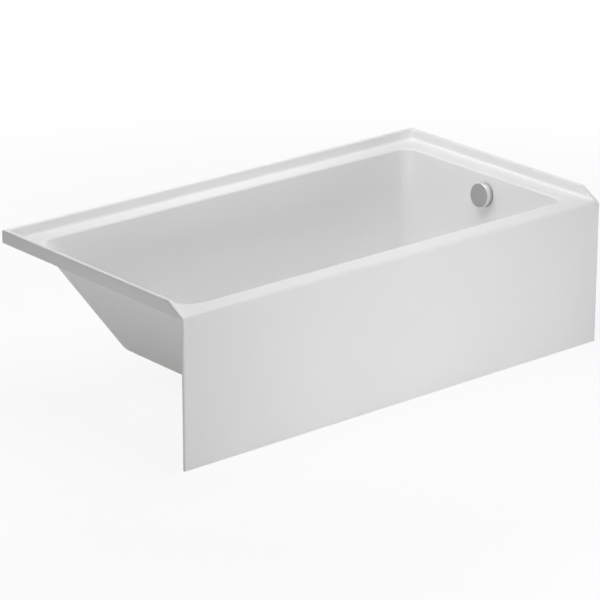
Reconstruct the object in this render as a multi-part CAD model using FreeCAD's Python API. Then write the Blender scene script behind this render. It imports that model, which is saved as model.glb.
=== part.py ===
import FreeCAD, Part

import math
import os

# Alcove bathtub with an integral skirt, a tile flange on three sides and a right-hand drain.
# Millimetres. Origin: on the floor under the middle of the tub. +X to the drain end, +Y to the
# back wall, +Z up. "Head" is the sloped end that a bather leans on.

# ---- driving dimensions: shell ----
tub_length = 1524.0
tub_width = 812.8
deck_height = 431.8
flange_rise = 31.75
shell_wall = 6.5
nose_radius = 12.0
flange_cove = 8.0
flange_edge_radius = 5.0
flange_end_setback = 64.8
head_deck = 58.6
drain_deck = 77.0
side_deck = 66.4
head_slope = 36.0
side_draft = 5.0
drain_draft = 7.0
floor_fall = 0.3
floor_height = 66.5
head_corner_radius = 60.0
drain_corner_radius = 38.0
floor_radius = 36.0
rim_radius = 8.0

# ---- driving dimensions: timber and feet ----
batten_depth = 14.0
batten_setback = 28.0
batten_gap = 2.4
foot_batten_height = 40.0
foot_batten_thickness = 18.0
foot_batten_lift = 4.0
board_thickness = 12.0
board_inset = 12.0
bar_width = 40.0
bar_depth = 20.0
bar_steel = 2.0
head_bar_inset = 254.0
drain_bar_inset = 102.0
foot_inset = 54.4
foot_overhang = 20.0
stud_radius = 5.0
stud_length = 72.0
pad_radius = 20.0
pad_height = 12.0
pad_floor = 4.0
nut_height = 8.0
nut_flats = 17.0
bar_screw_radius = 2.5
bar_screw_spacing = 120.0

# ---- driving dimensions: overflow and knob ----
waste_y = -14.0
overflow_drop = 63.2
overflow_hole_radius = 26.0
knob_radius = 36.5
knob_thickness = 12.8
knob_shell = 4.0
knob_hub_radius = 10.0
knob_gap = 1.2
knob_turn = 60.0
faceplate_radius = 36.0
faceplate_depth = 8.0
faceplate_shell = 2.0
front_seal_thickness = 2.0
rear_seal_thickness = 4.0
overflow_throat_radius = 24.0
overflow_shell = 4.0
overflow_depth = 36.0
spindle_radius = 5.0
drum_width = 6.0
cover_radius = 20.0
cover_shell = 2.5
plate_screw_radius = 2.5
plate_screw_offset = 18.0

# ---- driving dimensions: waste ----
drain_from_end = 230.0
drain_seat_depth = 2.0
drain_flange_radius = 35.0
drain_flange_thickness = 3.0
drain_throat_radius = 24.5
drain_throat_wall = 3.0
drain_throat_length = 29.0
flange_seal_thickness = 1.5
body_seal_thickness = 3.0
shoe_wall = 3.4
shoe_flange_thickness = 3.0
shoe_depth = 48.0
pipe_radius = 19.0
pipe_wall = 2.2
pipe_axis_drop = 35.0
socket_wall = 4.4
socket_length = 22.0
slip_nut_radius = 27.5
slip_washer_thickness = 4.0
plug_radius = 31.0
plug_thickness = 5.0
plug_stem_radius = 4.0
plug_seal_thickness = 1.7
finger_length = 18.0
finger_swing = 32.0
finger_radius = 3.0
lever_axis_drop = 42.5
crank_length = 13.0
crank_pin_radius = 1.5
cable_radius = 2.5
wire_radius = 0.8
ferrule_radius = 4.0
ferrule_length = 12.0
cable_lead = 52.0
cable_bow = 92.0
cable_fall = 150.0
cable_offset = 50.0
cable_rise = 90.0
cable_run = 120.0

# ---- clearances ----
running_gap = 0.05
rest_gap = 0.3
thread_gap = 0.05

half_length = tub_length / 2
half_width = tub_width / 2
flange_top = deck_height + flange_rise
overflow_height = deck_height - overflow_drop
foot_y = half_width - foot_inset
pipe_axis_height = floor_height - pipe_axis_drop
lever_axis_height = floor_height - lever_axis_drop
flange_thickness = 2 * shell_wall
deck_underside = deck_height - shell_wall
drain_x = half_length - drain_from_end
drain_seat = floor_height - drain_seat_depth
shell_underside = drain_seat - shell_wall
origin = FreeCAD.Vector(0, 0, 0)
up = FreeCAD.Vector(0, 0, 1)
along = FreeCAD.Vector(1, 0, 0)
across = FreeCAD.Vector(0, 1, 0)
reach = tub_length


def point(x, y, z):
    return FreeCAD.Vector(x, y, z)


def box(x, y, z):
    """A box from three (low, high) pairs."""
    return Part.makeBox(x[1] - x[0], y[1] - y[0], z[1] - z[0], point(x[0], y[0], z[0]))


def rod(radius, start, end):
    run = end - start
    return Part.makeCylinder(radius, run.Length, start, run)


def ring(outer, inner, start, end):
    return rod(outer, start, end).cut(rod(inner, start, end))


def prism(points, push):
    return Part.Face(Part.makePolygon(points + points[:1])).extrude(push)


def middle(edge):
    return edge.valueAt((edge.FirstParameter + edge.LastParameter) / 2)


def rounded(shape, radius, chosen):
    """The shape with the edges whose middle point passes the test rounded."""
    return shape.makeFillet(radius, [edge for edge in shape.Edges if chosen(middle(edge))])


def near(a, b):
    return abs(a - b) < 0.01


def hexagon(flats, start, height, turn=0.0):
    corner = flats / math.sqrt(3)
    angles = [math.radians(60 * k + turn) for k in range(6)]
    outline = [start + point(corner * math.cos(a), corner * math.sin(a), 0) for a in angles]
    return prism(outline, up * height)


def save(name, *solids):
    shape = solids[0] if len(solids) == 1 else Part.makeCompound(list(solids))
    shape.exportStep(f"parts/{name}.step")


# ---- basin: four leaning planes over a floor that falls to the drain ----
def head_wall(z, skin):
    lean = math.radians(head_slope)
    return -half_length + head_deck - skin / math.cos(lean) + (deck_height - z) * math.tan(lean)


def drain_wall(z, skin):
    lean = math.radians(drain_draft)
    return half_length - drain_deck + skin / math.cos(lean) - (deck_height - z) * math.tan(lean)


def side_wall(z, skin):
    lean = math.radians(side_draft)
    return half_width - side_deck + skin / math.cos(lean) - (deck_height - z) * math.tan(lean)


def floor_plane(x, skin):
    fall = math.radians(floor_fall)
    return floor_height - skin / math.cos(fall) + (drain_x - x) * math.tan(fall)


def floor_meets(wall, skin):
    """The height where the floor plane meets an end wall, both being straight lines."""
    low = floor_plane(wall(0, skin), skin)
    high = floor_plane(wall(1, skin), skin)
    return low / (1 - (high - low))


def basin_form(skin, top):
    """The basin's inner form for skin 0, and the outside of its wall for the wall's thickness."""
    head_foot = floor_meets(head_wall, skin)
    drain_foot = floor_meets(drain_wall, skin)
    side = [
        point(head_wall(top, skin), -reach, top),
        point(drain_wall(top, skin), -reach, top),
        point(drain_wall(drain_foot, skin), -reach, drain_foot),
        point(head_wall(head_foot, skin), -reach, head_foot),
    ]
    section = [
        point(-reach, s * side_wall(z, skin), z) for s, z in ((-1, top), (1, top), (1, 0), (-1, 0))
    ]
    form = prism(side, across * 2 * reach).common(prism(section, along * 2 * reach))
    floor_top = max(head_foot, drain_foot) + 1
    low_end = (floor_top, top - 1)
    form = rounded(
        form,
        head_corner_radius + skin,
        lambda m: low_end[0] < m.z < low_end[1] and m.x < 0 and abs(m.y) > side_wall(0, skin),
    )
    form = rounded(
        form,
        drain_corner_radius + skin,
        lambda m: low_end[0] < m.z < low_end[1] and m.x > 0 and abs(m.y) > side_wall(0, skin),
    )
    form = rounded(form, floor_radius + skin, lambda m: m.z < floor_top)
    seat_radius = drain_flange_radius + 3 + skin
    return form.fuse(rod(seat_radius, on_drain(drain_seat - skin), on_drain(floor_height + 2)))


# ---- shell ----
nose_back = -half_width + nose_radius
nose_foot = deck_height - nose_radius
slope_top = (-half_width + flange_end_setback, flange_top)


def nose_point(angle):
    """A point of the nose in the section across the tub, by its angle from the level."""
    return (nose_back + nose_radius * math.cos(angle), nose_foot + nose_radius * math.sin(angle))


def slope_angle():
    """Where the sloped end of a side flange runs into the nose, touching it without a crease."""
    run = slope_top[0] - nose_back
    rise = slope_top[1] - nose_foot
    return math.atan2(rise, run) + math.acos(nose_radius / math.hypot(run, rise))


def section(x, corners, arc):
    """Face in the plane at x through the corners, closed by an arc given by its two angles."""
    places = [point(x, y, z) for y, z in corners]
    edges = [Part.LineSegment(a, b).toShape() for a, b in zip(places, places[1:])]
    crown = point(x, *nose_point(sum(arc) / 2))
    edges.append(Part.Arc(places[-1], crown, places[0]).toShape())
    return Part.Face(Part.Wire(edges))


def outer_block():
    """Flange ends, nose and skirt outside, filled in between and below."""
    meet = slope_angle()
    corners = [
        nose_point(meet),
        slope_top,
        (half_width, flange_top),
        (half_width, 0),
        (-half_width, 0),
        (-half_width, nose_foot),
    ]
    return section(-half_length, corners, (math.pi, meet)).extrude(along * tub_length)


def deck_space():
    """What lies above the deck and the nose inside the flange, with the flange's cove."""
    meet = slope_angle()
    inside = half_length - flange_thickness
    inner_back = half_width - flange_thickness
    touch = nose_point(meet)
    out = (touch[0] - reach * math.sin(meet), touch[1] + reach * math.cos(meet))
    corners = [
        (nose_back, deck_height),
        (inner_back, deck_height),
        (inner_back, flange_top + reach),
        (out[0], flange_top + reach),
        out,
        touch,
    ]
    space = section(-inside, corners, (meet, math.pi / 2)).extrude(along * 2 * inside)

    def on_cove(m):
        on_end = near(abs(m.x), inside)
        on_back = near(m.y, inner_back)
        low = m.z < deck_height + 0.01 and m.y > out[0] + 1
        return (on_end and (on_back or low)) or (on_back and near(m.z, deck_height))

    return rounded(space, flange_cove, on_cove)


def skirt_space():
    """What lies under the deck behind the skirt."""
    behind = -half_width + shell_wall
    space = box((-reach, reach), (behind, reach), (-reach, deck_underside))
    inner_nose = nose_radius - shell_wall
    return rounded(space, inner_nose, lambda m: near(m.y, behind) and near(m.z, deck_underside))


def tub_shell():
    shell = outer_block().cut(deck_space()).cut(skirt_space())
    meet = nose_point(slope_angle())
    shell = rounded(
        shell,
        flange_edge_radius,
        lambda m: near(m.z, flange_top)
        or (near(abs(m.x), half_length) and meet[0] < m.y < slope_top[0] and m.z > meet[1]),
    )
    shell = shell.fuse(basin_form(shell_wall, deck_height - shell_wall / 2))
    shell = shell.cut(basin_form(0, flange_top + 1))
    shell = rounded(
        shell,
        rim_radius,
        lambda m: near(m.z, deck_height)
        and head_wall(deck_height, 1) < m.x < drain_wall(deck_height, 1)
        and abs(m.y) < side_wall(deck_height, 1),
    )
    drain_hole = rod(drain_throat_radius + 1.5, on_drain(0), on_drain(floor_height + 1))
    overflow_hole = on_end_wall(axial(overflow_hole_radius, -shell_wall, 2 * shell_wall))
    return shell.cut(drain_hole).cut(overflow_hole)


# ---- timber bonded to the shell ----
def battens():
    low = deck_underside - batten_depth
    height = (low, deck_underside)
    head = -half_length + batten_setback
    drain_side = (drain_wall(deck_height, shell_wall) + 3 * batten_gap, half_length - flange_thickness)
    back = (side_wall(deck_height, shell_wall) + batten_gap, half_width - flange_thickness)
    front = (-half_width + nose_radius + 1, -back[0])
    head_side = (head, head_wall(deck_underside, shell_wall) - batten_gap)
    save("front_rim_batten", box((head, drain_side[1]), front, height))
    save("back_rim_batten", box((head, drain_side[1]), back, height))
    between = (front[1] + 1, back[0] - 1)
    save("head_rim_batten", box(head_side, between, height))
    save("drain_rim_batten", box(drain_side, between, height))
    inner_face = -half_width + shell_wall
    save(
        "skirt_foot_batten",
        box(
            (head, -head),
            (inner_face, inner_face + foot_batten_thickness),
            (foot_batten_lift, foot_batten_lift + foot_batten_height),
        ),
    )


board_head = head_wall(floor_height, shell_wall) + floor_radius
board_drain = drain_x - drain_flange_radius - 27
board_half = side_wall(floor_height, shell_wall) - floor_radius - board_inset
board_bottom = floor_plane(board_drain, shell_wall) - board_thickness
web_bottom = board_bottom - bar_steel
bars = {"head": board_head + head_bar_inset, "drain": drain_x - drain_bar_inset}
screw_places = [
    (x, s * (k + 0.5) * bar_screw_spacing) for x in bars.values() for s in (-1, 1) for k in (0, 1)
]
feet = [(end, side, x, s * foot_y) for end, x in bars.items() for side, s in (("front", -1), ("back", 1))]


def base_board():
    outline = [
        point(board_head, -board_half, board_bottom),
        point(board_drain, -board_half, board_bottom),
        point(board_drain, -board_half, floor_plane(board_drain, shell_wall)),
        point(board_head, -board_half, floor_plane(board_head, shell_wall)),
    ]
    board = prism(outline, across * 2 * board_half)
    for x, y in screw_places:
        board = board.cut(bar_screw_shank(x, y, thread_gap))
    return board


def bar_screw_shank(x, y, gap):
    tip = board_bottom + board_thickness - 2
    return rod(bar_screw_radius + gap, point(x, y, web_bottom), point(x, y, tip))


def cross_bar(x):
    ends = (-foot_y - foot_overhang, foot_y + foot_overhang)
    half = bar_width / 2
    bar = box((x - half, x + half), ends, (board_bottom - bar_depth, board_bottom))
    bar = rounded(bar, 2 * bar_steel, lambda m: near(m.z, board_bottom) and near(abs(m.x - x), half))
    hollow = half - bar_steel
    bar = bar.cut(box((x - hollow, x + hollow), (-reach, reach), (-reach, web_bottom)))
    holes = [(place_x, y, bar_screw_radius) for place_x, y in screw_places]
    holes += [(x, side * foot_y, stud_radius) for side in (-1, 1)]
    for place_x, y, radius in holes:
        bar = bar.cut(rod(radius + rest_gap, point(place_x, y, 0), point(place_x, y, board_bottom + 1)))
    return bar


def cross_bar_screws():
    head_height = 1.2 * bar_screw_radius
    screws = []
    low = web_bottom - head_height
    for x, y in screw_places:
        head = rod(2 * bar_screw_radius, point(x, y, low), point(x, y, web_bottom))
        head = rounded(head, 0.8, lambda m: near(m.z, low))
        for long, wide in ((2.4, 0.5), (0.5, 2.4)):
            head = head.cut(box((x - long, x + long), (y - wide, y + wide), (low, web_bottom - 1.6)))
        screws.append(head.fuse(bar_screw_shank(x, y, 0)))
    return screws


def foot_stud(x, y):
    top = pad_floor + stud_length
    stud = rod(stud_radius, point(x, y, pad_floor), point(x, y, top))
    stud = stud.makeChamfer(1.0, [edge for edge in stud.Edges if middle(edge).z > pad_floor + 1])
    slot = box((x - stud_radius, x + stud_radius), (y - 0.75, y + 0.75), (top - 3, reach))
    return stud.cut(slot)


def foot_pad(x, y):
    base = rod(pad_radius, point(x, y, 0), point(x, y, pad_height / 3))
    cone = Part.makeCone(pad_radius, 2 * stud_radius, pad_height * 2 / 3, point(x, y, pad_height / 3), up)
    socket = rod(stud_radius + running_gap, point(x, y, pad_floor), point(x, y, pad_height + 1))
    return base.fuse(cone).cut(socket)


def foot_nuts():
    nuts = []
    for end, side, x, y in feet:
        for low in (board_bottom, web_bottom - nut_height):
            bore = rod(stud_radius + thread_gap, point(x, y, low), point(x, y, low + nut_height))
            nuts.append(hexagon(nut_flats, point(x, y, low), nut_height).cut(bore))
    return nuts


# ---- overflow, in its own frame: x runs out through the end wall from its wet face ----
plate_front = -front_seal_thickness - faceplate_depth
knob_rear = plate_front - knob_gap
knob_front = knob_rear - knob_thickness
body_front = shell_wall + rear_seal_thickness
chamber_front = body_front + overflow_shell
chamber_rear = chamber_front + overflow_depth
body_rear = chamber_rear + overflow_shell
ferrule_boss_radius = ferrule_radius + 2
drum_middle = body_rear + ferrule_boss_radius + rest_gap
drum_front = drum_middle - drum_width / 2
drum_rear = drum_middle + drum_width / 2
cover_rear = drum_rear + 1 + cover_shell
wire_travel = 2 * crank_length * math.sin(math.radians(finger_swing / 2))
drum_radius = wire_travel / math.radians(knob_turn)
plug_lift = 2 * finger_length * math.sin(math.radians(finger_swing / 2))
boss_start = cover_radius - cover_shell
boss_end = boss_start + ferrule_length + 3
wall_x = drain_wall(overflow_height, 0)


def on_end_wall(shape):
    """Leans a piece back with the end wall and sets it at the overflow hole."""
    placed = shape.copy()
    placed.rotate(origin, across, drain_draft)
    placed.translate(point(wall_x, waste_y, overflow_height))
    return placed


def axial(radius, start, end, y=0.0, z=0.0):
    return rod(radius, point(start, y, z), point(end, y, z))


def washer(outer, inner, start, end):
    return axial(outer, start, end).cut(axial(inner, start, end))


def overflow_faceplate():
    plate = axial(faceplate_radius, plate_front, -front_seal_thickness)
    plate = rounded(plate, 1.2, lambda m: near(m.x, plate_front))
    plate = plate.cut(axial(faceplate_radius - 4, plate_front + faceplate_shell, 0))
    plate = plate.cut(axial(spindle_radius + running_gap, plate_front - 1, 0))
    holes = [(plate_screw_radius + rest_gap, side * plate_screw_offset, 0) for side in (-1, 1)]
    holes_ring = faceplate_radius * 0.68
    for k in range(8):
        angle = math.radians(22.5 + 45 * k)
        holes.append((4.0, holes_ring * math.cos(angle), holes_ring * math.sin(angle)))
    for radius, y, z in holes:
        plate = plate.cut(axial(radius, plate_front - 1, 0, y, z))
    slot_x = (plate_front + faceplate_shell + 1, -front_seal_thickness - 1.5)
    for k in range(-3, 4):
        slot = box(slot_x, (-3, 3), (-faceplate_radius - 1, -faceplate_radius + 6))
        slot.rotate(origin, along, 18 * k)
        plate = plate.cut(slot)
    return on_end_wall(plate)


def overflow_knob():
    knob = axial(knob_radius, knob_front, knob_rear)
    knob = rounded(knob, 1.8, lambda m: near(m.x, knob_front))
    hollow = washer(knob_radius - knob_shell, knob_hub_radius, knob_front + knob_shell, knob_rear + 1)
    knob = knob.cut(hollow).cut(axial(spindle_radius + running_gap, knob_front + knob_shell, knob_rear + 1))
    screw_x = (knob_front + knob_shell + knob_rear) / 2
    key_way = rod(2.05, point(screw_x, 0, -knob_radius - 1), point(screw_x, 0, 0))
    return on_end_wall(knob.cut(key_way))


def knob_screw():
    screw_x = (knob_front + knob_shell + knob_rear) / 2
    screw = rod(2.0, point(screw_x, 0, -knob_hub_radius + 0.5), point(screw_x, 0, -spindle_radius))
    socket = rod(1.0, point(screw_x, 0, -knob_hub_radius), point(screw_x, 0, -knob_hub_radius + 2.5))
    return on_end_wall(screw.cut(axial(spindle_radius, -reach, reach)).cut(socket))


def knob_spindle():
    spindle = axial(spindle_radius, knob_front + knob_shell + 0.5, drum_rear)
    return on_end_wall(spindle.fuse(cable_drum()))


def cable_drum():
    rim = drum_radius + 3
    drum = axial(rim, drum_front, drum_rear)
    groove = washer(rim + 1, drum_radius - wire_radius - rest_gap, drum_middle - 1.5, drum_middle + 1.5)
    return drum.cut(groove)


def plate_screws():
    screws = []
    for side in (-1, 1):
        y = side * plate_screw_offset
        head = axial(4.4, plate_front - 2.6, plate_front, y)
        head = rounded(head, 1.0, lambda m: near(m.x, plate_front - 2.6))
        slot = box((plate_front - 3, plate_front - 1.4), (y - 0.6, y + 0.6), (-4.4, 4.4))
        shank = axial(plate_screw_radius, plate_front, body_front + 12, y)
        screws.append(on_end_wall(head.cut(slot).fuse(shank)))
    return screws


def overflow_body():
    outer = overflow_throat_radius + overflow_shell
    flange = axial(overflow_hole_radius + 9, body_front, chamber_front)
    chamber = axial(outer, body_front, body_rear)
    outlet = rod(socket_radius, outlet_point(outlet_start), outlet_point(outlet_drop))
    body = flange.fuse(chamber)
    body = on_end_wall(body).fuse(outlet)
    hollow = axial(overflow_throat_radius, body_front - 1, chamber_rear)
    body = body.cut(on_end_wall(hollow))
    below = outlet_point(outlet_drop + 1)
    body = body.cut(rod(pipe_radius - pipe_wall, outlet_point(overflow_throat_radius / 2), below))
    body = body.cut(rod(pipe_radius + running_gap, outlet_point(outlet_drop - socket_length), below))
    for side in (-1, 1):
        y = side * plate_screw_offset
        boss = axial(overflow_throat_radius - plate_screw_offset + 1, body_front, body_front + 16, y)
        boss = boss.common(axial(outer, body_front, body_rear))
        pilot = axial(plate_screw_radius + thread_gap, body_front - 1, body_front + 13, y)
        body = body.fuse(on_end_wall(boss)).cut(on_end_wall(pilot))
    return body.cut(on_end_wall(axial(spindle_radius + running_gap, chamber_front, body_rear + 1)))


def wire_line(radius, start, end):
    """A rod along the wire where it leaves the drum, by its two distances from the axis."""
    return rod(radius, point(drum_middle, -start, -drum_radius), point(drum_middle, -end, -drum_radius))


def drum_cover():
    cover = axial(cover_radius, body_rear, cover_rear)
    cover = rounded(cover, 1.5, lambda m: near(m.x, cover_rear))
    cover = cover.fuse(wire_line(ferrule_boss_radius, boss_start, boss_end))
    cover = cover.cut(axial(boss_start, body_rear - 1, cover_rear - cover_shell))
    seat = wire_line(ferrule_radius + running_gap, boss_end - ferrule_length, boss_end + 1)
    return on_end_wall(cover.cut(seat).cut(wire_line(2 * wire_radius, 0, boss_end)))


# ---- waste pipes ----
socket_radius = pipe_radius + socket_wall
outlet_start = cover_radius + cover_rear * math.sin(math.radians(drain_draft)) + rest_gap
pipe_x = drain_wall(overflow_height - overflow_throat_radius, 0) + body_front + socket_radius + 1
outlet_drop = overflow_throat_radius + overflow_shell + 12 + socket_length
tee_arm = socket_radius + 2 + socket_length
outlet_socket = pipe_axis_height - pipe_radius - 1.5
floor_gap = 1.0


def outlet_point(drop):
    return point(pipe_x, waste_y, overflow_height - drop)


def slip_nut(end, way):
    """A nut over a socket's end; way points out of the socket."""
    lip = slip_washer_thickness + 3
    nut = rod(slip_nut_radius, end - way * 14, end + way * lip)
    nut = nut.cut(rod(socket_radius + thread_gap, end - way * 15, end + way * slip_washer_thickness))
    nut = nut.cut(rod(pipe_radius + rest_gap, end, end + way * (lip + 1)))
    side = FreeCAD.Vector(0, slip_nut_radius + 1.5, 0)
    for k in range(12):
        flute = rod(3.0, end - way * 15 + side, end + way * (lip + 1) + side)
        flute.rotate(end, way, 30 * k)
        nut = nut.cut(flute)
    return nut


def slip_washer(end, way):
    return ring(socket_radius - 0.5, pipe_radius + running_gap, end, end + way * slip_washer_thickness)


slip_joints = [
    (outlet_point(outlet_drop), -up),
    (point(pipe_x, waste_y, pipe_axis_height + tee_arm), up),
    (point(pipe_x - tee_arm, waste_y, pipe_axis_height), -along),
]


def waste_tee():
    centre = point(pipe_x, waste_y, pipe_axis_height)
    outer = socket_radius
    foot = point(pipe_x, waste_y, floor_gap)
    tee = rod(outer, centre, centre + up * tee_arm).fuse(rod(outer, centre, centre - along * tee_arm))
    tee = tee.fuse(Part.makeSphere(outer, centre)).fuse(rod(outer, centre, foot))
    for way in (up, -along):
        mouth = centre + way * (tee_arm + 1)
        tee = tee.cut(rod(pipe_radius - pipe_wall, centre, mouth))
        tee = tee.cut(rod(pipe_radius + running_gap, centre + way * (tee_arm - socket_length), mouth))
    tee = tee.cut(rod(pipe_radius - pipe_wall, centre, foot - up))
    return tee.cut(rod(pipe_radius + running_gap, foot - up, foot + up * outlet_socket))


def pipe(start, end):
    return ring(pipe_radius, pipe_radius - pipe_wall, start, end)


# ---- drain ----
def on_drain(z, x=0.0, y=0.0):
    return point(drain_x + x, waste_y + y, z)


flange_low = drain_seat + flange_seal_thickness
flange_high = flange_low + drain_flange_thickness
throat_foot = flange_high - drain_throat_length
shoe_top = shell_underside - body_seal_thickness
shoe_foot = shoe_top - shoe_depth + shoe_wall
shoe_outer = drain_throat_radius + thread_gap + shoe_wall
shoe_socket_start = shoe_outer + 12
shoe_socket_end = shoe_socket_start + socket_length
plug_low = flange_high + rest_gap + plug_seal_thickness
finger_low = lever_axis_height - finger_length * math.sin(math.radians(finger_swing / 2))
stem_foot = finger_low + finger_radius + rest_gap
crank_y = -shoe_outer - 5
stop_x = 10.0
crank_pin_height = lever_axis_height - crank_length * math.cos(math.radians(finger_swing / 2))


def drain_flange():
    disc = rod(drain_flange_radius, on_drain(flange_low), on_drain(flange_high))
    disc = rounded(disc, 1.2, lambda m: near(m.z, flange_high))
    throat = rod(drain_throat_radius, on_drain(throat_foot), on_drain(flange_high - 1))
    flange = disc.fuse(throat)
    bore = drain_throat_radius - drain_throat_wall
    flange = flange.cut(rod(bore, on_drain(throat_foot - 1), on_drain(flange_high + 1)))
    hub_low, hub_high = throat_foot + 2, throat_foot + 14
    hub = rod(plug_stem_radius + 2.5, on_drain(hub_low), on_drain(hub_high))
    for k in range(3):
        arm = box((0, bore + 1), (-1.5, 1.5), (hub_low, hub_low + 5))
        arm.rotate(origin, up, 120 * k + 60)
        arm.translate(on_drain(0))
        hub = hub.fuse(arm)
    flange = flange.fuse(hub)
    return flange.cut(rod(plug_stem_radius + running_gap, on_drain(throat_foot), on_drain(flange_high)))


def lever_line(radius, start, end):
    """A rod along the lever's axis, by its two distances across the tub from the drain's axis."""
    place = (lever_axis_height, -finger_length)
    return rod(radius, on_drain(*place, start), on_drain(*place, end))


def crank_line(radius, start, end):
    """A rod along the wire at the crank, by its two distances along the tub from the drain's axis."""
    return rod(radius, on_drain(crank_pin_height, start, crank_y), on_drain(crank_pin_height, end, crank_y))


def drain_shoe():
    cup = rod(shoe_outer, on_drain(shoe_foot), on_drain(shoe_top))
    cup = rounded(cup, 2.0, lambda m: near(m.z, shoe_foot))
    flange_start = on_drain(shoe_top - shoe_flange_thickness)
    cup = cup.fuse(rod(drain_flange_radius, flange_start, on_drain(shoe_top)))
    axis_end = on_drain(pipe_axis_height, shoe_socket_end)
    cup = cup.fuse(rod(pipe_radius + shoe_wall, on_drain(pipe_axis_height, shoe_outer - 8), axis_end))
    cup = cup.fuse(lever_line(finger_radius + 4, crank_y + 2, -finger_length / 2))
    stop = box(
        (stop_x - 4, stop_x + ferrule_length + 2),
        (crank_y - 6, crank_y + 14),
        (crank_pin_height - 6, lever_axis_height),
    )
    stop.translate(on_drain(0))
    cup = cup.fuse(stop)
    bore = drain_throat_radius + thread_gap
    cup = cup.cut(rod(bore, on_drain(shoe_foot + shoe_wall), on_drain(shoe_top + 1)))
    cup = cup.cut(rod(pipe_radius - pipe_wall, on_drain(pipe_axis_height), axis_end))
    socket = rod(pipe_radius + running_gap, on_drain(pipe_axis_height, shoe_socket_start), axis_end + along)
    cup = cup.cut(socket).cut(lever_line(finger_radius + running_gap, crank_y, 0))
    cup = cup.cut(crank_line(ferrule_radius + running_gap, stop_x, stop_x + ferrule_length + 3))
    return cup.cut(crank_line(2 * wire_radius, stop_x - 5, stop_x))


def plug_cap():
    cap = rod(plug_radius, on_drain(plug_low), on_drain(plug_low + plug_thickness))
    cap = rounded(cap, plug_thickness * 0.6, lambda m: near(m.z, plug_low + plug_thickness))
    return cap.cut(rod(plug_stem_radius, on_drain(plug_low), on_drain(plug_low + plug_thickness - 2)))


def plug_seal():
    inner = drain_throat_radius - drain_throat_wall - 2
    low = on_drain(plug_low - plug_seal_thickness)
    return ring(drain_throat_radius + 3, inner, low, on_drain(plug_low))


def plug_stem():
    stem = rod(plug_stem_radius, on_drain(stem_foot), on_drain(plug_low + plug_thickness - 2))
    return rounded(stem, 1.0, lambda m: near(m.z, stem_foot))


def lift_lever():
    """Shaft, finger and outside crank in one piece, drawn level and then turned to rest."""
    axis = on_drain(lever_axis_height, -finger_length)
    shaft_end = across * (crank_y - 4)
    shaft = rod(finger_radius, axis + shaft_end, axis + across * (finger_radius + 1))
    tip = axis + along * finger_length
    finger = rod(finger_radius, tip - across * finger_radius, tip + across * finger_radius)
    arm = box((0, finger_length), (-finger_radius, finger_radius), (-1.8, 1.8))
    arm.translate(axis)
    half_hub = across * finger_radius
    finger = finger.fuse(arm).fuse(rod(finger_radius + 1.5, axis - half_hub, axis + half_hub))
    pin = axis - up * crank_length
    crank_side = across * (crank_y - 4)
    crank = box((-3.5, 3.5), (0, 3), (-crank_length, 0))
    crank.translate(axis + crank_side)
    crank = crank.fuse(rod(4.2, pin + crank_side, pin + crank_side + across * 3))
    crank = crank.fuse(rod(5.0, axis + crank_side, axis + crank_side + across * 3))
    crank = crank.fuse(rod(crank_pin_radius, pin + crank_side, pin + across * (crank_y + 3)))
    lever = shaft.fuse(finger).fuse(crank)
    lever.rotate(axis, across, finger_swing / 2)
    return lever


# ---- cable from the drum to the crank ----
def cable_route():
    """Corner points of the casing, chosen to hang clear of the pipes and lie on the floor."""
    start = on_end_wall(Part.Vertex(point(drum_middle, -boss_end + 1, -drum_radius))).Point
    low = crank_pin_height
    return [
        start,
        start + point(0, -cable_lead, 0),
        start + point(0.04 * cable_fall, -0.91 * cable_bow, -0.44 * cable_fall),
        start + point(0.03 * cable_fall, -cable_bow, -cable_fall),
        point(wall_x + cable_offset, waste_y - 1.2 * cable_bow, low + cable_rise),
        point(wall_x + 0.12 * cable_offset, waste_y - cable_bow, low + 0.27 * cable_rise),
        on_drain(low, cable_run, crank_y - 0.13 * cable_run),
        on_drain(low, 0.55 * cable_run, crank_y),
        on_drain(low, stop_x + 1, crank_y),
    ]


def cable_path(points):
    """Straight runs joined by tangent arcs, each as large as its two runs allow."""
    edges = []
    radii = []
    last = points[0]
    for before, corner, after in zip(points, points[1:], points[2:]):
        back, ahead = (before - corner), (after - corner)
        turn = math.pi - back.getAngle(ahead)
        trim = 0.45 * min(back.Length, ahead.Length)
        radius = trim / math.tan(turn / 2)
        first = corner + back.normalize() * trim
        second = corner + ahead.normalize() * trim
        inward = (back + ahead).normalize()
        centre = corner + inward * (radius / math.cos(turn / 2))
        crown = centre - inward * radius
        edges.append(Part.LineSegment(last, first).toShape())
        edges.append(Part.Arc(first, crown, second).toShape())
        radii.append(round(radius, 1))
        last = second
    edges.append(Part.LineSegment(last, points[-1]).toShape())
    print("cable arc radii", radii)
    return Part.Wire(edges)


def cable_casing():
    points = cable_route()
    path = cable_path(points)
    way = (points[1] - points[0]).normalize()
    round_wire = Part.Wire(Part.makeCircle(cable_radius, points[0], way))
    casing = path.makePipeShell([round_wire], True, False)
    share = casing.Volume / path.Length / math.pi / cable_radius**2
    print("cable length", round(path.Length), "volume share", round(share, 4))
    bore = 1.5 * wire_radius
    first_run = rod(bore, points[0] - way, points[0] + way * 2 * ferrule_length)
    last_run = rod(bore, points[-1] - along, points[-1] + along * 2 * ferrule_length)
    return casing.cut(first_run).cut(last_run)


def cable_ferrules():
    points = cable_route()
    drum_end = on_end_wall(wire_line(ferrule_radius, boss_end - ferrule_length, boss_end))
    bore = cable_radius + running_gap
    drum_end = drum_end.cut(rod(bore, points[0], points[0] - across * ferrule_length))
    drum_end = drum_end.cut(on_end_wall(wire_line(2 * wire_radius, 0, boss_end)))
    crank_end = crank_line(ferrule_radius, stop_x, stop_x + ferrule_length)
    crank_end = crank_end.cut(rod(bore, points[-1], points[-1] + along * 2 * ferrule_length))
    return [drum_end, crank_end.cut(crank_line(2 * wire_radius, 0, 2 * stop_x))]


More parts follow.
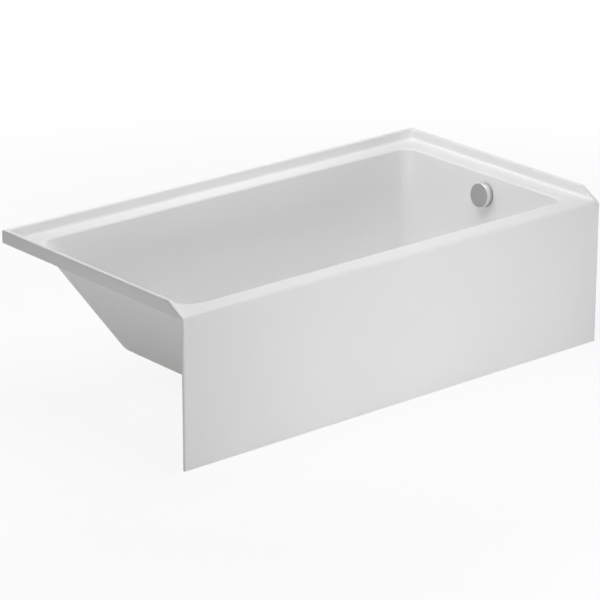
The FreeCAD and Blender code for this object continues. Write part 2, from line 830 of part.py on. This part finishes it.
def drum_wire():
    return on_end_wall(wire_line(wire_radius, drum_radius / 2, boss_end + 10))


def lever_wire():
    """The wire with its eye, whose hole leaves room for the dip of the crank pin's arc."""
    swing = math.radians(finger_swing / 2)
    pin_x = -finger_length - crank_length * math.sin(swing)
    hole_radius = crank_pin_radius + crank_length * (1 - math.cos(swing)) + running_gap
    eye = on_drain(crank_pin_height, pin_x, crank_y)
    wire = crank_line(wire_radius, pin_x, stop_x + 14)
    eye_ring = rod(hole_radius + 1.4, eye - across * 0.9, eye + across * 0.9)
    return wire.fuse(eye_ring).cut(rod(hole_radius, eye - across * 2, eye + across * 2))


os.makedirs("parts", exist_ok=True)
save("tub_shell", tub_shell())
battens()
save("base_board", base_board())
for bar_name, bar_x in bars.items():
    save(f"{bar_name}_cross_bar", cross_bar(bar_x))
save("cross_bar_screws", *cross_bar_screws())
for end, side, foot_x, y in feet:
    save(f"{end}_{side}_foot_stud", foot_stud(foot_x, y))
    save(f"{end}_{side}_foot_pad", foot_pad(foot_x, y))
save("foot_nuts", *foot_nuts())

front_seal = washer(faceplate_radius - 1, overflow_hole_radius, -front_seal_thickness, 0)
rear_seal = washer(overflow_hole_radius + 9, overflow_hole_radius + 1, shell_wall, body_front)
save("overflow_front_seal", on_end_wall(front_seal))
save("overflow_faceplate", overflow_faceplate())
save("overflow_knob", overflow_knob())
save("knob_screw", knob_screw())
save("knob_spindle", knob_spindle())
save("faceplate_screws", *plate_screws())
save("overflow_rear_seal", on_end_wall(rear_seal))
save("overflow_body", overflow_body())
save("drum_cover", drum_cover())

upright_top = outlet_point(outlet_drop - socket_length + 2)
upright_foot = point(pipe_x, waste_y, pipe_axis_height + tee_arm - socket_length + 2)
level_end = point(pipe_x - tee_arm + socket_length - 2, waste_y, pipe_axis_height)
save("overflow_pipe", pipe(upright_top, upright_foot))
save("waste_pipe", pipe(on_drain(pipe_axis_height, shoe_socket_start + 1), level_end))
save("waste_tee", waste_tee())
save("slip_nuts", *[slip_nut(end, way) for end, way in slip_joints])
save("slip_washers", *[slip_washer(end, way) for end, way in slip_joints])

seal_bore = drain_throat_radius + 1.5
flange_seal = ring(drain_flange_radius - 1, seal_bore, on_drain(drain_seat), on_drain(flange_low))
shoe_seal = ring(drain_flange_radius, seal_bore, on_drain(shoe_top), on_drain(shell_underside))
save("drain_flange", drain_flange())
save("drain_flange_seal", flange_seal)
save("drain_shoe_seal", shoe_seal)
save("drain_shoe", drain_shoe())
save("plug_cap", plug_cap())
save("plug_seal", plug_seal())
save("plug_stem", plug_stem())
save("lift_lever", lift_lever())
save("cable_casing", cable_casing())
save("cable_ferrules", *cable_ferrules())
save("drum_wire", drum_wire())
save("lever_wire", lever_wire())
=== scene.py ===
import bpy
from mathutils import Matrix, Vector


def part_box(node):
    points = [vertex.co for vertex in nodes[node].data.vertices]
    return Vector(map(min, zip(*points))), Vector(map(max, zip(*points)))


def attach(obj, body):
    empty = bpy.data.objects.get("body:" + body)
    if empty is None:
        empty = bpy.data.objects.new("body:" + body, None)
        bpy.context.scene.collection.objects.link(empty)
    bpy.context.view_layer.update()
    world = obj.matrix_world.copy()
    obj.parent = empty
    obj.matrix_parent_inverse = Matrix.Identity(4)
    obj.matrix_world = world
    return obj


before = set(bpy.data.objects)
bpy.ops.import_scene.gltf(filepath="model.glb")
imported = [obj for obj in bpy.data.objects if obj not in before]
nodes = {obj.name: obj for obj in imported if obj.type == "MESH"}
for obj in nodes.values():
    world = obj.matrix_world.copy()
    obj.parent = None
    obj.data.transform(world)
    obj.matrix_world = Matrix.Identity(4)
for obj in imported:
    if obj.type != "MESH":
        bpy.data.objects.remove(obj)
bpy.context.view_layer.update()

import math

import bmesh
import bpy
from mathutils import Vector, noise


# lengths are in metres, and a lens and its sensor in millimetres
camera = {
    "place": (-5.50006, -6.5255, 3.29734),
    "looksAt": (-0.0245, 0.0, 0.1969),
    "lens": 190.89,
    "sensor": 36.0,
    "seesTo": 60.0,
}


def aimAt(thing, place, target):
    # a camera and a lamp both look along their own -Z
    thing.location = place
    thing.rotation_euler = (Vector(target) - Vector(place)).to_track_quat("-Z", "Y").to_euler()


def addCamera(settings):
    view = bpy.data.objects.new("photoCamera", bpy.data.cameras.new("photoCamera"))
    view.data.sensor_width = settings["sensor"]
    view.data.lens = settings["lens"]
    view.data.clip_end = settings["seesTo"]
    aimAt(view, settings["place"], settings["looksAt"])
    bpy.context.scene.collection.objects.link(view)
    bpy.context.scene.camera = view


addCamera(camera)
print("camera placed")


def toLinear(hexColour):
    # the sRGB curve undone, with full alpha
    channels = [int(hexColour[i:i + 2], 16) / 255 for i in (1, 3, 5)]
    return [c / 12.92 if c <= 0.04045 else ((c + 0.055) / 1.055) ** 2.4 for c in channels] + [1.0]


def perMetre(millimetres):
    # how many grains, waves or strands of this size stand in a metre: a pattern's scale
    return 1000.0 / millimetres


def addNode(tree, kind, inputs=None, stops=None, to=None, **settings):
    # an input given as another node's socket is linked and anything else is its value;
    # stops are a colour ramp's, and "to" is the socket that takes the first output
    node = tree.nodes.new("ShaderNode" + kind)
    for name, value in settings.items():
        setattr(node, name, value)
    for name, value in (inputs or {}).items():
        if isinstance(value, bpy.types.NodeSocket):
            tree.links.new(value, node.inputs[name])
        else:
            node.inputs[name].default_value = value
    if stops:
        ramp = node.color_ramp.elements
        ramp[0].position, ramp[1].position = stops[0][0], stops[-1][0]
        for position, colour in stops[1:-1]:
            ramp.new(position)
        for element, (position, colour) in zip(ramp, stops):
            element.color = toLinear(colour)
    if to is not None:
        tree.links.new(node.outputs[0], to)
    return node


def startMaterial(name, **surface):
    # the shader's own sockets take the values that are the same all over
    material = bpy.data.materials.new(name)
    material.use_nodes = True
    tree = material.node_tree
    shader = tree.nodes["Principled BSDF"]
    for socket, value in surface.items():
        shader.inputs[socket.replace("_", " ")].default_value = value
    place = addNode(tree, "TexCoord").outputs["Object"]
    return material, tree, shader, place


def choppedStrands(tree, place, width, length, turns):
    # glass bundles of one size, in millimetres, laid the ways that the turns give; the value is
    # highest along the middle of a bundle
    strands = None
    stretch = (perMetre(width), perMetre(width), perMetre(length))
    for turn in turns:
        laid = addNode(tree, "Mapping", {"Vector": place, "Rotation": turn, "Scale": stretch})
        fibre = addNode(tree, "TexNoise", {"Vector": laid.outputs[0], "Scale": 1.0, "Detail": 1.0})
        fibre = fibre.outputs["Fac"]
        both = {0: fibre, 1: fibre if strands is None else strands}
        strands = addNode(tree, "Math", both, operation="MAXIMUM").outputs[0]
    return strands


def castAcrylic():
    # PMMA sheet, vacuum formed, then sprayed from behind with resin and chopped glass: in front an
    # even white with a soft gloss, behind a duller white with the strands standing out a little
    material, tree, shader, place = startMaterial("acrylicFormedGlassBacked", IOR=1.49)
    cloud = addNode(tree, "TexNoise", {"Vector": place, "Scale": perMetre(450), "Detail": 3.0})
    white = addNode(tree, "ValToRGB", {"Fac": cloud.outputs["Fac"]},
                    stops=[(0.3, "#f6f6f6"), (0.7, "#f9f9f9")])
    haze = addNode(tree, "TexNoise", {"Vector": place, "Scale": perMetre(110), "Detail": 6.0})
    gloss = addNode(tree, "MapRange", {"Value": haze.outputs["Fac"],
                                       "To Min": 0.33, "To Max": 0.36})
    # the sprayed side faces down, and inside the skirt it faces the back wall
    facesDown, facesBack, skirtDepth = -0.03, 0.3, -0.38
    lean = addNode(tree, "SeparateXYZ", {0: addNode(tree, "TexCoord").outputs["Normal"]}).outputs
    down = addNode(tree, "Math", {0: lean["Z"], 1: facesDown}, operation="LESS_THAN")
    back = addNode(tree, "Math", {0: lean["Y"], 1: facesBack}, operation="GREATER_THAN")
    depth = addNode(tree, "SeparateXYZ", {0: place}).outputs["Y"]
    near = addNode(tree, "Math", {0: depth, 1: skirtDepth}, operation="LESS_THAN")
    inSkirt = addNode(tree, "Math", {0: back.outputs[0], 1: near.outputs[0]}, operation="MULTIPLY")
    sprayed = addNode(tree, "Math", {0: down.outputs[0], 1: inSkirt.outputs[0]},
                      operation="MAXIMUM").outputs[0]
    # strands 25 mm long; 1.2 mm wide here, coarser than the real bundles, so that they show
    strands = choppedStrands(tree, place, 1.2, 25, (
        (0.3, 0.9, 0.2), (1.2, 0.1, 1.0), (0.7, 1.4, 2.1), (2.2, 0.6, 0.5)))
    resin = addNode(tree, "ValToRGB", {"Fac": strands}, stops=[(0.5, "#f5f5f5"), (0.75, "#fbfbfb")])
    addNode(tree, "MixRGB", {"Fac": sprayed, "Color1": white.outputs[0],
                             "Color2": resin.outputs[0]}, to=shader.inputs["Base Color"])
    duller, standOut = 0.2, 0.4
    addNode(tree, "Math", {0: sprayed, 1: duller, 2: gloss.outputs[0]}, operation="MULTIPLY_ADD",
            to=shader.inputs["Roughness"])
    ripple = addNode(tree, "TexNoise", {"Vector": place, "Scale": perMetre(30), "Detail": 1.0})
    drawn = addNode(tree, "Bump", {"Height": ripple.outputs["Fac"], "Strength": 0.004,
                                   "Distance": 0.001})
    relief = addNode(tree, "Math", {0: sprayed, 1: standOut}, operation="MULTIPLY").outputs[0]
    addNode(tree, "Bump", {"Height": strands, "Strength": relief, "Distance": 0.0012,
                           "Normal": drawn.outputs[0]}, to=shader.inputs["Normal"])
    return material


def laidGlassMat():
    # chopped strand mat wetted with polyester resin and rolled on by hand: a milky, slightly green
    # skin, out of which bundles 1.5 mm wide and 30 mm long stand a little
    material, tree, shader, place = startMaterial("glassMatHandLaid", IOR=1.55, Roughness=0.34)
    strands = choppedStrands(tree, place, 1.5, 30, (
        (0.2, 0.5, 0.9), (1.3, 0.2, 2.0), (0.9, 1.2, 0.1)))
    addNode(tree, "ValToRGB", {"Fac": strands}, to=shader.inputs["Base Color"],
            stops=[(0.45, "#cfd3c4"), (0.6, "#dfe1d6"), (0.78, "#efefe9")])
    addNode(tree, "Bump", {"Height": strands, "Strength": 0.6, "Distance": 0.0008},
            to=shader.inputs["Normal"])
    return material


def sawnPine(direction):
    # softwood off the saw: pale, with darker year rings that run along it about 7 mm apart, and a
    # furry grain; direction is the axis that the board runs along, 0 for X and 1 for Y
    material, tree, shader, place = startMaterial(f"pineSawn{'XY'[direction]}",
                                                  Roughness=0.75, IOR=1.5)
    stretch = [perMetre(70)] * 3
    stretch[direction] = perMetre(1100)
    board = addNode(tree, "Mapping", {"Vector": place, "Scale": stretch}).outputs[0]
    bend = addNode(tree, "TexNoise", {"Vector": board, "Scale": 1.0, "Detail": 3.0})
    grown = addNode(tree, "MixRGB", {"Fac": 0.18, "Color1": board, "Color2": bend.outputs["Color"]})
    rings = addNode(tree, "TexWave", {"Vector": grown.outputs[0], "Scale": 3.2, "Distortion": 2.5,
                                      "Detail": 3.0}, bands_direction="Z")
    tone = addNode(tree, "ValToRGB", {"Fac": rings.outputs["Fac"]},
                   stops=[(0.0, "#d9b988"), (0.6, "#cda774"), (1.0, "#a97c4c")])
    # fibres 1.4 mm wide and 55 mm long: several real ones each, so that they show
    thread = [perMetre(1.4)] * 3
    thread[direction] = perMetre(55)
    drawn = addNode(tree, "Mapping", {"Vector": place, "Scale": thread}).outputs[0]
    fibre = addNode(tree, "TexNoise", {"Vector": drawn, "Scale": 1.0, "Detail": 2.0}).outputs["Fac"]
    addNode(tree, "MixRGB", {"Fac": 0.25, "Color1": tone.outputs[0], "Color2": fibre},
            blend_type="OVERLAY", to=shader.inputs["Base Color"])
    addNode(tree, "Bump", {"Height": fibre, "Strength": 0.35, "Distance": 0.0006},
            to=shader.inputs["Normal"])
    return material


def pressedChipboard():
    # chips of 5 mm or so pressed in resin and sanded: a speckled tan with hardly any relief
    material, tree, shader, place = startMaterial("chipboardPressed", Roughness=0.7, IOR=1.5)
    chips = addNode(tree, "TexVoronoi", {"Vector": place, "Scale": perMetre(5.3)}).outputs["Color"]
    each = addNode(tree, "SeparateColor", {"Color": chips}).outputs["Red"]
    addNode(tree, "ValToRGB", {"Fac": each}, to=shader.inputs["Base Color"],
            stops=[(0.0, "#9c7747"), (0.4, "#c2a06b"), (0.8, "#d3b685"), (1.0, "#e0c99d")])
    addNode(tree, "Bump", {"Height": each, "Strength": 0.2, "Distance": 0.0004},
            to=shader.inputs["Normal"])
    return material


def zincPlate(name, dark, light):
    # rolled or cold headed steel out of the zinc bath: cool grey, clouded by crystals of 8 mm or so
    material, tree, shader, place = startMaterial(name, Metallic=1.0)
    crystals = addNode(tree, "TexVoronoi", {"Vector": place, "Scale": perMetre(7.7)})
    addNode(tree, "ValToRGB", {"Fac": crystals.outputs["Distance"]},
            stops=[(0.0, dark), (1.0, light)], to=shader.inputs["Base Color"])
    cloud = addNode(tree, "TexNoise", {"Vector": place, "Scale": perMetre(22), "Detail": 5.0})
    cloud = cloud.outputs["Fac"]
    addNode(tree, "MapRange", {"Value": cloud, "To Min": 0.28, "To Max": 0.5},
            to=shader.inputs["Roughness"])
    addNode(tree, "Bump", {"Height": cloud, "Strength": 0.06, "Distance": 0.0003},
            to=shader.inputs["Normal"])
    return material


def satinNickel(name, face=None):
    # brass blasted fine, then plated with nickel: light grey, its highlight soft and wide;
    # the blasted grain is 0.7 mm here, coarser than it is, so that it shows
    material, tree, shader, place = startMaterial(name, Metallic=1.0)
    grain = addNode(tree, "TexNoise", {"Vector": place, "Scale": perMetre(0.7), "Detail": 2.0})
    grain = grain.outputs["Fac"]
    tone = addNode(tree, "ValToRGB", {"Fac": grain},
                   stops=[(0.35, "#b6b7b9"), (0.65, "#c1c2c4")]).outputs[0]
    matt = addNode(tree, "MapRange", {"Value": grain, "To Min": 0.28, "To Max": 0.38}).outputs[0]
    if face:
        # what doesn't look the way that the face does is its rim: all of it is painted a lighter
        # colour as a painted highlight, and it is a little smoother
        outward = addNode(tree, "TexCoord").outputs["Normal"]
        facing = addNode(tree, "VectorMath", {0: outward, 1: face}, operation="DOT_PRODUCT")
        rim = addNode(tree, "MapRange", {"Value": facing.outputs["Value"],
                                         "From Min": 0.6, "From Max": 0.2}).outputs[0]
        # the rim's lighter colour is a painted highlight, not the plating's own colour
        tone = addNode(tree, "MixRGB", {"Fac": rim, "Color1": tone,
                                        "Color2": toLinear("#ecedef")}).outputs[0]
        smoother = -0.16
        matt = addNode(tree, "Math", {0: rim, 1: smoother, 2: matt},
                       operation="MULTIPLY_ADD").outputs[0]
    tree.links.new(tone, shader.inputs["Base Color"])
    tree.links.new(matt, shader.inputs["Roughness"])
    addNode(tree, "Bump", {"Height": grain, "Strength": 0.08, "Distance": 0.0001},
            to=shader.inputs["Normal"])
    return material


def turnedBrass():
    # free cutting brass off the lathe: warm, its tool marks a third of a millimetre apart
    material, tree, shader, place = startMaterial("brassTurned", Metallic=1.0)
    cloud = addNode(tree, "TexNoise", {"Vector": place, "Scale": perMetre(11), "Detail": 4.0})
    cloud = cloud.outputs["Fac"]
    addNode(tree, "ValToRGB", {"Fac": cloud}, stops=[(0.3, "#b8964f"), (0.7, "#cfae68")],
            to=shader.inputs["Base Color"])
    addNode(tree, "MapRange", {"Value": cloud, "To Min": 0.22, "To Max": 0.42},
            to=shader.inputs["Roughness"])
    marks = addNode(tree, "TexNoise", {"Vector": place, "Scale": perMetre(0.33)}).outputs["Fac"]
    addNode(tree, "Bump", {"Height": marks, "Strength": 0.12, "Distance": 0.0001},
            to=shader.inputs["Normal"])
    return material


def mouldedPlastic(name, dark, light, roughness, grainSize):
    # injection moulded or extruded: an even colour, with the fine eroded grain of the tool, its
    # size in millimetres; the gloss varies a little either side of the roughness
    material, tree, shader, place = startMaterial(name, IOR=1.5)
    cloud = addNode(tree, "TexNoise", {"Vector": place, "Scale": perMetre(33), "Detail": 4.0})
    cloud = cloud.outputs["Fac"]
    addNode(tree, "ValToRGB", {"Fac": cloud}, stops=[(0.3, dark), (0.7, light)],
            to=shader.inputs["Base Color"])
    spread = 0.06
    addNode(tree, "MapRange", {"Value": cloud, "To Min": roughness - spread,
                               "To Max": roughness + spread}, to=shader.inputs["Roughness"])
    grain = addNode(tree, "TexNoise", {"Vector": place, "Scale": perMetre(grainSize),
                                       "Detail": 2.0})
    addNode(tree, "Bump", {"Height": grain.outputs["Fac"], "Strength": 0.15, "Distance": 0.0002},
            to=shader.inputs["Normal"])
    return material


def twistedSteel():
    # thin wires laid together: slanted bands 2 mm from one to the next, which give the wires'
    # relief and are also painted into the colour as painted shade in the grooves and painted
    # highlight on the crests
    material, tree, shader, place = startMaterial("steelWireTwisted", Metallic=1.0, Roughness=0.38)
    layReliefAndShade = addNode(tree, "TexWave", {"Vector": place, "Scale": perMetre(3.1), "Distortion": 0.4},
                  bands_direction="DIAGONAL").outputs["Fac"]
    # the dark end of this ramp is painted shade between the wires, the light end a painted
    # highlight on them
    addNode(tree, "ValToRGB", {"Fac": layReliefAndShade}, stops=[(0.1, "#5e6063"), (0.9, "#b5b8bb")],
            to=shader.inputs["Base Color"])
    addNode(tree, "Bump", {"Height": layReliefAndShade, "Strength": 0.5, "Distance": 0.0002},
            to=shader.inputs["Normal"])
    return material


knobFacing = (-0.9925, 0.0, 0.1219)  # towards the bather, and leaning back 7 degrees with the wall

acrylic = castAcrylic()
pineAlong = sawnPine(0)
pineAcross = sawnPine(1)
chipboard = pressedChipboard()
zincSheet = zincPlate("steelSheetZinced", "#a9adb0", "#c3c7ca")
zincThread = zincPlate("steelThreadZinced", "#b1afa4", "#cbc9bd")
nickel = satinNickel("nickelSatinPlated")
knobNickel = satinNickel("nickelSatinRimPaintedHighlight", face=knobFacing)
brass = turnedBrass()
nylonFoot = mouldedPlastic("nylonMoulded", "#1b1c1e", "#26272a", 0.45, 0.8)
whiteAbs = mouldedPlastic("absMouldedWhite", "#dbdad4", "#e4e3de", 0.38, 0.7)
whitePvc = mouldedPlastic("pvcExtruded", "#dcdcd8", "#e6e6e3", 0.3, 1.5)
greyRubber = mouldedPlastic("rubberMoulded", "#202021", "#2b2b2c", 0.72, 0.6)
casingSkin = mouldedPlastic("pvcCasingSkin", "#151617", "#1d1e20", 0.4, 1.0)
wire = twistedSteel()

finishes = {
    "tub_shell": acrylic,
    "front_rim_batten": pineAlong, "back_rim_batten": pineAlong, "skirt_foot_batten": pineAlong,
    "head_rim_batten": pineAcross, "drain_rim_batten": pineAcross,
    "base_board": chipboard,
    "head_cross_bar": zincSheet, "drain_cross_bar": zincSheet,
    "cross_bar_screws": zincThread, "foot_nuts": zincThread,
    "overflow_knob": knobNickel,
    "overflow_faceplate": nickel, "knob_screw": nickel, "faceplate_screws": nickel,
    "drain_flange": nickel, "plug_cap": nickel,
    "knob_spindle": brass, "plug_stem": brass, "lift_lever": brass, "cable_ferrules": brass,
    "overflow_front_seal": greyRubber, "overflow_rear_seal": greyRubber,
    "slip_washers": greyRubber, "plug_seal": greyRubber,
    "drain_flange_seal": greyRubber, "drain_shoe_seal": greyRubber,
    "overflow_body": whiteAbs, "drum_cover": whiteAbs, "slip_nuts": whiteAbs,
    "drain_shoe": whiteAbs, "waste_tee": whiteAbs,
    "overflow_pipe": whitePvc, "waste_pipe": whitePvc,
    "cable_casing": casingSkin, "drum_wire": wire, "lever_wire": wire,
}
for end in ("head", "drain"):
    for side in ("front", "back"):
        finishes[f"{end}_{side}_foot_stud"] = zincThread
        finishes[f"{end}_{side}_foot_pad"] = nylonFoot

for name, piece in nodes.items():
    piece.data.materials.clear()
    piece.data.materials.append(finishes[name])
print("materials set on", len(nodes), "nodes")


# strips of glass mat laid over the battens at the back and the drain end, to hold them
battenStraps = {
    "width": 0.06,
    "thickness": 0.0012,
    "usual": 0.8,  # the mat is this share of its thickness,
    "lumps": 0.35,  # give or take this share where the strands lie thick or thin,
    "fullest": 1.2,  # and this share is kept free for it under the deck
    "lumpsDown": 90,  # lumps in a metre down the section,
    "lumpsAcross": 17,  # and in the strip's width
    "clear": 0.0004,  # what the mat stands off the batten, the deck and the wall
    "flap": 0.011,  # what lies flat under the deck
    "drop": 0.006,  # how much lower it meets the wall than a slant of 45 degrees would
    "tail": 0.05,  # what runs down the wall
    "turn": 0.003,  # a point this far each side of the batten's edge keeps that turn tight
    "stepsAcross": 14,
    "ragged": 0.0022,  # how far the cut edges wander,
    "rags": (0.9, 31, 5),  # and how fast: down a strip, from strip to strip, from edge to edge
    "deckHeight": 0.4318,
    # which way out is, how far out the shell's wall stands at deck height, how far it slopes in
    # degrees, and where the middle of each strip is
    "sides": {
        "back": {"out": (0, 1), "wall": 0.34652, "slope": 5,
                 "at": (-0.56, -0.33, -0.10, 0.13, 0.36, 0.59)},
        "drain": {"out": (1, 0), "wall": 0.69155, "slope": 7, "at": (-0.26, 0.26)},
    },
}


def softened(points, rounds=3):
    # cuts the corners of an open line a quarter of the way along, its two ends kept
    for _ in range(rounds):
        cut = [points[0]]
        for a, b in zip(points, points[1:]):
            cut += [a.lerp(b, 0.25), a.lerp(b, 0.75)]
        points = cut + [points[-1]]
    return points


def strapLine(low, high, side, settings):
    # the strip's section, how far out and how high: in under the deck, down the batten's outer
    # side, in under the batten, slanting across to the shell's wall and down it
    axis = 0 if side["out"][0] else 1
    slope = math.radians(side["slope"])
    clear, turn = settings["clear"], settings["turn"]
    inner, outer = low[axis], high[axis] + clear
    fullest = settings["thickness"] * settings["fullest"]
    bottom, top = low.z - clear, high.z - clear - fullest

    def wall(height):
        below = settings["deckHeight"] - height
        return side["wall"] - below * math.tan(slope) + clear / math.cos(slope)

    landing = bottom - (inner - wall(bottom)) - settings["drop"]
    foot = landing - settings["tail"] * math.cos(slope)
    return softened([Vector(corner) for corner in (
        (outer + settings["flap"], top), (outer, top), (outer, bottom + turn), (outer, bottom),
        (outer - turn, bottom), (inner, bottom), (wall(landing), landing), (wall(foot), foot))])


def strapLayer(mesh, line, place, lift, side, settings):
    # one face of a strip: a row of points across it for each point of the section
    steps = settings["stepsAcross"]
    down, across = settings["lumpsDown"], settings["lumpsAcross"]
    ragDown, ragStrip, ragEdge = settings["rags"]
    rows = []
    for i, spot in enumerate(line):
        run = (line[min(i + 1, len(line) - 1)] - line[max(i - 1, 0)]).normalized()
        away = Vector((-run.y, run.x))  # the line runs in and down, so this points off the shell
        row = []
        for j in range(steps + 1):
            share = j / steps - 0.5
            lumps = noise.noise(Vector((spot.x * down, spot.y * down, (place + share) * across)))
            out = spot + away * lift * (settings["usual"] + settings["lumps"] * lumps)
            along = place + share * settings["width"]
            if j in (0, steps):
                rag = noise.noise(Vector((i * ragDown, place * ragStrip, share * ragEdge)))
                along += settings["ragged"] * rag
            point = (out.x, along, out.y) if side["out"][0] else (along, out.x, out.y)
            row.append(mesh.verts.new(point))
        rows.append(row)
    return rows


def addStraps(name, side, settings, material):
    low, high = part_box(f"{name}_rim_batten")
    line = strapLine(low, high, side, settings)
    mesh = bmesh.new()
    last = settings["stepsAcross"]
    for place in side["at"]:
        under = strapLayer(mesh, line, place, 0.0, side, settings)
        over = strapLayer(mesh, line, place, settings["thickness"], side, settings)
        for i in range(len(line) - 1):
            for j in range(last):
                mesh.faces.new((under[i][j], under[i][j + 1], under[i + 1][j + 1], under[i + 1][j]))
                mesh.faces.new((over[i][j], over[i + 1][j], over[i + 1][j + 1], over[i][j + 1]))
            mesh.faces.new((under[i][0], under[i + 1][0], over[i + 1][0], over[i][0]))
            mesh.faces.new((under[i][last], over[i][last], over[i + 1][last], under[i + 1][last]))
        for i in (0, len(line) - 1):
            for j in range(last):
                mesh.faces.new((under[i][j], over[i][j], over[i][j + 1], under[i][j + 1]))
    bmesh.ops.recalc_face_normals(mesh, faces=mesh.faces)
    data = bpy.data.meshes.new(f"{name}_batten_straps")
    mesh.to_mesh(data)
    mesh.free()
    data.shade_smooth()
    data.materials.append(material)
    straps = bpy.data.objects.new(f"{name}_batten_straps", data)
    bpy.context.scene.collection.objects.link(straps)
    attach(straps, "tub")


glassMat = laidGlassMat()
for name, side in battenStraps["sides"].items():
    addStraps(name, side, battenStraps, glassMat)
print("glass mat laid over", len(battenStraps["sides"]), "battens")


# places, aims and sizes are in metres, powers in watts
studio = {
    "floorHalf": 9.0,
    "floorTone": "#f8f8f8",
    "shadowShare": 0.1,  # how much of the floor's own shading is seen beside the tub
    "shadowReach": (1.3, 2.6),  # from the first to the second distance that share fades to none
    "worldLevel": 0.0,  # the lamps and the floor light the tub, and nothing from the sky does
    "lamps": {
        "frontLow": {"place": (0.2, -2.6, 0.45), "aim": (0.1, -0.4, 0.25),
                     "size": (1.2, 0.8), "power": 17.2},
        "frontFloor": {"place": (-0.1, -2.2, 0.3), "aim": (-0.05, -0.4, 0.2),
                       "size": (1.0, 0.5), "power": 4.1},
        "overhead": {"place": (0.05, -0.3, 1.7), "aim": (0.05, 0.0, 0.4),
                     "size": (1.2, 1.0), "power": 4.5},
        "overBack": {"place": (-0.1, 0.7, 1.5), "aim": (-0.1, 0.35, 0.4),
                     "size": (1.4, 0.6), "power": 4.1},
        "softTop": {"place": (0.0, 0.0, 2.7), "aim": (0.0, 0.0, 0.4),
                    "size": (2.0, 2.0), "power": 25.7},
        "left": {"place": (-3.2, -0.4, 1.0), "aim": (-0.5, 0.0, 0.3),
                 "size": (1.6, 1.4), "power": 10.8},
        "leftNear": {"place": (-1.5, -0.1, 0.12), "aim": (-0.45, 0.0, 0.15),
                     "size": (0.7, 0.2), "power": 0.45},
        "rightTop": {"place": (1.6, 0.2, 1.9), "aim": (0.0, 0.1, 0.3),
                     "size": (0.9, 0.9), "power": 2.8},
        "backLow": {"place": (-0.4, 2.2, 1.2), "aim": (0.0, 0.2, 0.4),
                    "size": (1.2, 0.8), "power": 6.8},
    },
}
pureWhite = toLinear("#ffffff")


def addSeen(tree):
    # 1 for what the camera sees, straight, in a gloss or through something clear
    rays = addNode(tree, "LightPath").outputs
    straight = addNode(tree, "Math", {0: rays["Is Camera Ray"], 1: rays["Is Glossy Ray"]},
                       operation="MAXIMUM")
    return addNode(tree, "Math", {0: straight.outputs[0], 1: rays["Is Transmission Ray"]},
                   operation="MAXIMUM").outputs[0]


def addFloor(settings):
    half = settings["floorHalf"]
    corners = [(-half, -half, 0), (half, -half, 0), (half, half, 0), (-half, half, 0)]
    mesh = bpy.data.meshes.new("studioFloor")
    mesh.from_pydata(corners, [], [(0, 1, 2, 3)])
    floor = bpy.data.objects.new("studioFloor", mesh)
    bpy.context.scene.collection.objects.link(floor)
    material = bpy.data.materials.new("paperSweep")
    material.use_nodes = True
    tree = material.node_tree
    tree.nodes.clear()
    place = addNode(tree, "TexCoord").outputs["Object"]
    far = addNode(tree, "VectorMath", {0: place}, operation="LENGTH").outputs["Value"]
    near, end = settings["shadowReach"]
    share = addNode(tree, "MapRange", {"Value": far, "From Min": near, "From Max": end,
                                       "To Min": settings["shadowShare"], "To Max": 0.0}).outputs[0]
    paper = addNode(tree, "BsdfDiffuse", {"Color": toLinear(settings["floorTone"])}).outputs[0]
    plain = addNode(tree, "Emission", {"Color": pureWhite, "Strength": 1.0}).outputs[0]
    shaded = addNode(tree, "BsdfDiffuse", {"Color": pureWhite}).outputs[0]
    seen = addNode(tree, "MixShader", {0: share, 1: plain, 2: shaded}).outputs[0]
    sheet = addNode(tree, "MixShader", {0: addSeen(tree), 1: paper, 2: seen}).outputs[0]
    addNode(tree, "OutputMaterial", {"Surface": sheet})
    mesh.materials.append(material)


def addWorld(settings):
    world = bpy.data.worlds.new("studioWorld")
    bpy.context.scene.world = world
    world.use_nodes = True
    tree = world.node_tree
    tree.nodes.clear()
    ambient = addNode(tree, "Background", {"Color": pureWhite, "Strength": settings["worldLevel"]})
    white = addNode(tree, "Background", {"Color": pureWhite, "Strength": 1.0})
    sky = addNode(tree, "MixShader", {0: addSeen(tree), 1: ambient.outputs[0], 2: white.outputs[0]})
    addNode(tree, "OutputWorld", {"Surface": sky.outputs[0]})


def addLamp(name, settings):
    lamp = bpy.data.lights.new(name, "AREA")
    lamp.shape = "RECTANGLE"
    lamp.size, lamp.size_y = settings["size"]
    lamp.energy = settings["power"]
    holder = bpy.data.objects.new(name, lamp)
    aimAt(holder, settings["place"], settings["aim"])
    bpy.context.scene.collection.objects.link(holder)


addFloor(studio)
addWorld(studio)
for name, settings in studio["lamps"].items():
    addLamp(name, settings)
bpy.context.scene.view_settings.view_transform = "Standard"
print("studio lit by", len(studio["lamps"]), "lamps")
